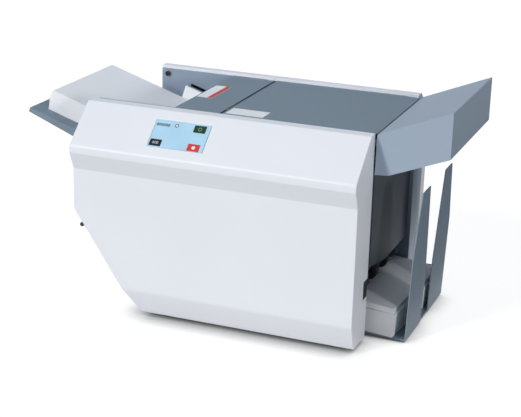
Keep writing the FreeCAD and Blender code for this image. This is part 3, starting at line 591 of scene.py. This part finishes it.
# ---- paper ----
def on_table(along, above, y):
    """Point over the feed table: distance down the slope and height above the stack's underside."""
    c = math.cos(STACK_SLOPE)
    t = math.sin(STACK_SLOPE)
    return Vector((STACK_CORNER[0] + c * along + t * above, y, STACK_CORNER[1] - t * along + c * above))


def stacked_sheets(work):
    """The stack in layers of a few sheets; each layer's edges stand a hair in or out."""
    thick = STACK_HEIGHT / STACK_LAYERS
    half = LETTER_WIDTH / 2
    for index in range(STACK_LAYERS):
        last = index == STACK_LAYERS - 1
        inset = [TOP_SHEET_INSET if last else random.uniform(0.0, SHEET_INSET) for _ in range(4)]
        slid = -STACK_BULGE * math.sin(math.pi * (index / STACK_LAYERS) ** 1.6)
        left, right = slid + inset[0], slid + LETTER_LENGTH - inset[1]
        front, back = -half + inset[2], half - inset[3]
        add_prism(work, [(left, front), (right, front), (right, back), (left, back)],
                  lambda u, v, w: on_table(u, w, v), index * thick, (index + 1) * thick)


def folded_letters(low, high, tilt, corner, count):
    """Pile of letters folded in three: each a flat loop with round folds, laid a little unevenly."""
    turned = Matrix.Rotation(math.radians(PILE_TURN), 4, "Z")
    tilted = Matrix.Rotation(math.radians(tilt), 4, "Y")
    place = Matrix.Translation((corner[0], corner[1], low)) @ turned @ tilted
    thick = (high - low) / count

    def build(work):
        for index in range(count):
            top = index == count - 1
            shift = 0.0 if top else random.uniform(0.0, LETTER_INSET)
            ends = [0.0 if top else random.uniform(0.0, LETTER_INSET) for _ in range(2)]
            left = -FOLDED_WIDTH + shift
            right = -(0.0 if top else random.uniform(0.0, FOLD_INSET))
            loop = rounded(left, right, 0.0, thick * 0.98, thick * 0.48, 4)
            add_prism(work, [(u, v + index * thick) for u, v in loop],
                      lambda u, v, w: place @ Vector((u, w, v)), ends[0], LETTER_WIDTH - ends[1])
    return build


stack = fitted("paper_sheets", stacked_sheets, MATERIALS["paper"], "paper_stack")
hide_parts("paper_stack")
# Node, heights of its underside and its top over the pile's lower corner, tilt in degrees, corner, letters.
for node, low, high, tilt, corner, count in (
        ("pile_lower", 0.0, 0.0394, 2.9, (TRAY_FACE - 0.0201, -0.107), 34),
        ("pile_upper", 0.0397, 0.0490, 4.6, (TRAY_FACE - 0.021, -0.106), 8)):
    built = folded_letters(PILE_FLOOR + low, PILE_FLOOR + high, tilt, corner, count)
    piece = fitted(node + "_letters", built, PILE_PAPER, node)
    smooth(piece.data, SHARP_ROUND)
    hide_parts(node)


# ---- screws and small sheet-metal forms ----
THUMB_HEAD = ((0.0, 0.0041), (0.0004, 0.0046), (0.0035, 0.0046), (0.0039, 0.0042), (0.0039, 0.0024),
              (0.0029, 0.0020), (0.0028, 0.0001))    # height over the plate, and radius
THUMB_SHANK = ((0.0, 0.002), (0.003, 0.002))
THUMB_CENTRE = ((0.0, 0.0016), (0.0004, 0.0012))
THUMB_GAP = 0.00005          # between the head and the plate
THUMB_RECESS = 0.0029        # height of the recess's bottom over the plate
KNURL = 0.05
SLOT_LIP = ((0.150, 0.0606), (0.206, 0.0606), (0.203, 0.0636), (0.153, 0.0636))
LIP_OUT = 0.0006             # how far a slot's lip stands out of the plate
LIP_SUNK = 0.0002
LOUVRES = 9                  # in each group
LOUVRE_PITCH = 0.011
LOUVRE_LOWEST = 0.075
LOUVRE_GROUPS = ((-0.085, 0.005), (0.045, 0.135))    # from X to X
LOUVRE_HEIGHT = 0.0062
LOUVRE_OUT = 0.0022          # how far a louvre stands out of the wall
LOUVRE_LIP = 0.0012
LOUVRE_SUNK = 0.0004
SCREW_HEAD = ((0.0, 1.0), (0.18, 1.0), (0.42, 0.82), (0.55, 0.5), (0.56, 0.36), (0.3, 0.34))    # in radii
COVER_SCREW_RADIUS = 0.0042
COVER_SCREW_SUNK = 0.0003
COVER_SCREWS = ((-0.19, 0.225), (-0.19, 0.19), (0.215, 0.225), (-0.10, 0.062), (0.215, 0.062))    # X and Z
INLET_SCREW_RADIUS = 0.0026
INLET_SCREW_AWAY = 0.004     # from the flange's edge to the screw's middle
INLET_FLANGE = 0.0019        # thickness of the inlet's flange


def thumb_screws():
    """Black knurled heads with a turned recess, on both frame plates; a dark steel end shows in each."""
    low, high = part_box("tray_screws")

    def seat(side, height):
        """Point of the screws' axis on one side, at a height over the frame plate's inner face."""
        return Vector(((low.x + high.x) / 2, side * (FRAME_INNER - height), (low.z + high.z) / 2))

    def heads(work):
        shank_end = THUMB_GAP - THUMB_SHANK[1][0]
        for side in (-1, 1):
            add_lathe(work, THUMB_HEAD, seat(side, THUMB_GAP), (0, -side, 0), 48, KNURL)
            add_lathe(work, THUMB_SHANK, seat(side, shank_end), (0, -side, 0), 24)

    def centres(work):
        for side in (-1, 1):
            add_lathe(work, THUMB_CENTRE, seat(side, THUMB_RECESS), (0, -side, 0), 24)

    piece = fitted("thumb_screws", heads, MATERIALS["black_paint"], "tray_screws")
    smooth(piece.data, SHARP_KNURL)
    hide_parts("tray_screws")
    fitted("thumb_screw_centres", centres, DARK_STEEL, "tray_screws")


def guide_lips(work):
    """Pressed lip over each guide slot in the frame plates."""
    for side in (-1, 1):
        add_prism(work, SLOT_LIP, lambda u, v, w: on_table(u, v, side * w),
                  FRAME_INNER - LIP_OUT, FRAME_INNER + LIP_SUNK)


def louvres(work):
    """Pressed louvres in the rear cover's wall: bars with a slanted face and a square lower edge."""
    inner = REAR_WALL - LOUVRE_SUNK
    outer = REAR_WALL + LOUVRE_OUT
    for row in range(LOUVRES):
        z = LOUVRE_LOWEST + row * LOUVRE_PITCH
        section = [(inner, z + LOUVRE_HEIGHT), (outer, z + LOUVRE_LIP), (outer, z), (inner, z)]
        for left, right in LOUVRE_GROUPS:
            add_prism(work, section, lambda u, v, w: Vector((w, u, v)), left, right)


def add_screw_head(work, base, axis, radius):
    """Button head with a shallow round socket."""
    add_lathe(work, [(height * radius, size * radius) for height, size in SCREW_HEAD], base, axis, 30)


def cover_screws(work):
    """Screws that hold the rear cover."""
    for x, z in COVER_SCREWS:
        add_screw_head(work, Vector((x, REAR_WALL - COVER_SCREW_SUNK, z)), (0, 1, 0), COVER_SCREW_RADIUS)


def inlet_screws(work):
    """Screws on both sides of the inlet's flange."""
    low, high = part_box("power_inlet")
    for y in (low.y - INLET_SCREW_AWAY, high.y + INLET_SCREW_AWAY):
        base = Vector((low.x + INLET_FLANGE, y, (low.z + high.z) / 2))
        add_screw_head(work, base, (-1, 0, 0), INLET_SCREW_RADIUS)


thumb_screws()
fitted("slot_lips", guide_lips, MATERIALS["frame_paint"], "rear_frame")
vents = fitted("rear_louvres", louvres, MATERIALS["white_paint"], "rear_cover")
bevel(vents, LOUVRE_EDGE)
for name, build, carrier in (("rear_cover_screws", cover_screws, "rear_cover"),
                             ("inlet_screws", inlet_screws, "power_inlet")):
    screws = fitted(name, build, MATERIALS["bright_steel"], carrier)
    smooth(screws.data, SHARP_ROUND)


# ---- studio ----
def sun(name, azimuth, elevation, strength, width):
    """Sun; its azimuth, to the right of the operator's side, its elevation and its width are in degrees."""
    light = bpy.data.lights.new(name, "SUN")
    light.energy = strength
    light.angle = math.radians(width)
    lamp = added(name, light)
    a = math.radians(azimuth)
    e = math.radians(elevation)
    source = Vector((math.sin(a) * math.cos(e), -math.cos(a) * math.cos(e), math.sin(e)))
    lamp.rotation_mode = "QUATERNION"
    lamp.rotation_quaternion = source.to_track_quat("Z", "Y")
    return lamp


sun("key", azimuth=-30.0, elevation=31.0, strength=1.95, width=9.0)
sun("fill", azimuth=58.0, elevation=9.0, strength=0.92, width=10.0)
back = sun("back", azimuth=188.0, elevation=7.0, strength=0.95, width=20.0)
back.visible_glossy = False


def studio_world():
    """Soft bluish sky, brighter above and behind the machine, a little darker towards the exit end."""
    world = bpy.data.worlds.new("studio")
    bpy.context.scene.world = world
    tree = Tree(world)
    direction = tree.node("ShaderNodeTexCoord")["Generated"]
    axes = tree.node("ShaderNodeSeparateXYZ", None, {0: direction})
    above = axes["Z"].ramp(0.1, 1.0) * 0.38
    behind = axes["Y"].ramp(0.0, 1.0) * 0.22
    aside = axes["X"].ramp(-1.0, 0.6) * -0.12
    glow = above + behind + aside + 0.14
    lit = tree.node("ShaderNodeBackground", None, {"Color": (0.86, 0.955, 1.08, 1.0), "Strength": glow})[0]
    tree.node("ShaderNodeOutputWorld", None, {"Surface": lit})


studio_world()


def grey(level):
    return (level, level, level, 1.0)


def floor_material():
    """Pale floor; camera and reflections see it lifted to white, with its shadows kept; ambient occlusion
    darkens the lift near the machine as a painted contact shade.
    """
    material = bpy.data.materials.new("studio_floor")
    tree = Tree(material)
    mottle = tree.noise(3.0)
    rays = tree.node("ShaderNodeLightPath")
    plain = tree.node("ShaderNodeBsdfDiffuse", None, {"Color": tree.mix(mottle, grey(0.55), grey(0.57))})[0]
    pale = tree.node("ShaderNodeBsdfDiffuse", None, {"Color": grey(0.2)})[0]
    # painted contact shade: ambient occlusion within 5 cm darkens the white lift under and beside the
    # machine
    ao_contact_shade = tree.node("ShaderNodeAmbientOcclusion", {"samples": 8}, {"Distance": 0.05})["AO"]
    white = tree.mix(ao_contact_shade.ramp(0.0, 0.9), grey(0.0), grey(1.0))
    lift = tree.node("ShaderNodeEmission", None, {"Color": white, "Strength": 0.89})[0]
    seen = tree.node("ShaderNodeAddShader", None, {0: pale, 1: lift})[0]
    direct = rays["Is Camera Ray"].math("MAXIMUM", rays["Is Glossy Ray"])
    direct = direct.math("MAXIMUM", rays["Is Transmission Ray"])
    tree.surface(tree.node("ShaderNodeMixShader", None, {0: direct, 1: plain, 2: seen})[0])
    return material


def studio_floor():
    def grid(work):
        bmesh.ops.create_grid(work, x_segments=4, y_segments=4, size=FLOOR_REACH)

    mesh = mesh_of("floor", grid)
    mesh.materials.append(floor_material())
    piece = added("floor", mesh)
    piece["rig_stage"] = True


def wall_material():
    material = bpy.data.materials.new("studio_wall")
    tree = Tree(material)
    tree.surface(tree.node("ShaderNodeEmission", None, {"Color": grey(1.0), "Strength": 1.0})[0])
    return material


def studio_wall():
    """White wall round the floor; low views and reflections see it, and it lights no matt surface."""
    def ring(work):
        turns = [2 * math.pi * k / WALL_SIDES for k in range(WALL_SIDES)]
        spots = [(WALL_AWAY * math.cos(turn), WALL_AWAY * math.sin(turn)) for turn in turns]
        loops = [[work.verts.new((x, y, z)) for x, y in spots] for z in (0.0, WALL_HEIGHT)]
        for a, b, c, d in zip(loops[0], loops[0][1:] + loops[0][:1], loops[1][1:] + loops[1][:1], loops[1]):
            work.faces.new((a, b, c, d))

    mesh = mesh_of("wall", ring)
    mesh.materials.append(wall_material())
    wall = added("wall", mesh)
    wall.visible_diffuse = False
    wall.visible_shadow = False
    wall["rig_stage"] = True


def studio_card():
    """Dark card on the floor at the exit end; only reflections see it."""
    def sheet(work):
        corners = ((CARD_LEFT, CARD_FRONT), (CARD_RIGHT, CARD_FRONT),
                   (CARD_RIGHT, CARD_BACK), (CARD_LEFT, CARD_BACK))
        work.faces.new([work.verts.new((x, y, CARD_LIFT)) for x, y in corners])

    mesh = mesh_of("card", sheet)
    mesh.materials.append(moulded("card_felt", (0.04, 0.04, 0.045, 1.0), 0.9))
    card = added("card", mesh)
    card.visible_camera = False
    card.visible_diffuse = False
    card.visible_shadow = False
    card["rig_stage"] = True


studio_floor()
studio_wall()
studio_card()


def studio_camera():
    data = bpy.data.cameras.new("camera")
    data.sensor_width = SENSOR
    data.lens = LENS
    data.clip_end = CAMERA_REACH
    camera = added("camera", data)
    a = math.radians(CAMERA_AZIMUTH)
    e = math.radians(CAMERA_PITCH)
    ahead = Vector((-math.sin(a) * math.cos(e), math.cos(a) * math.cos(e), -math.sin(e)))
    right = Vector((math.cos(a), math.sin(a), 0.0))
    turn = Matrix.Rotation(math.radians(CAMERA_ROLL), 3, -ahead)
    right = turn @ right
    up = right.cross(ahead)
    facing = Matrix((right, up, -ahead)).transposed().to_4x4()
    camera.matrix_world = Matrix.Translation(CAMERA_PLACE) @ facing
    bpy.context.scene.camera = camera


studio_camera()
bpy.context.scene.view_settings.view_transform = "Standard"

low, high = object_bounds()
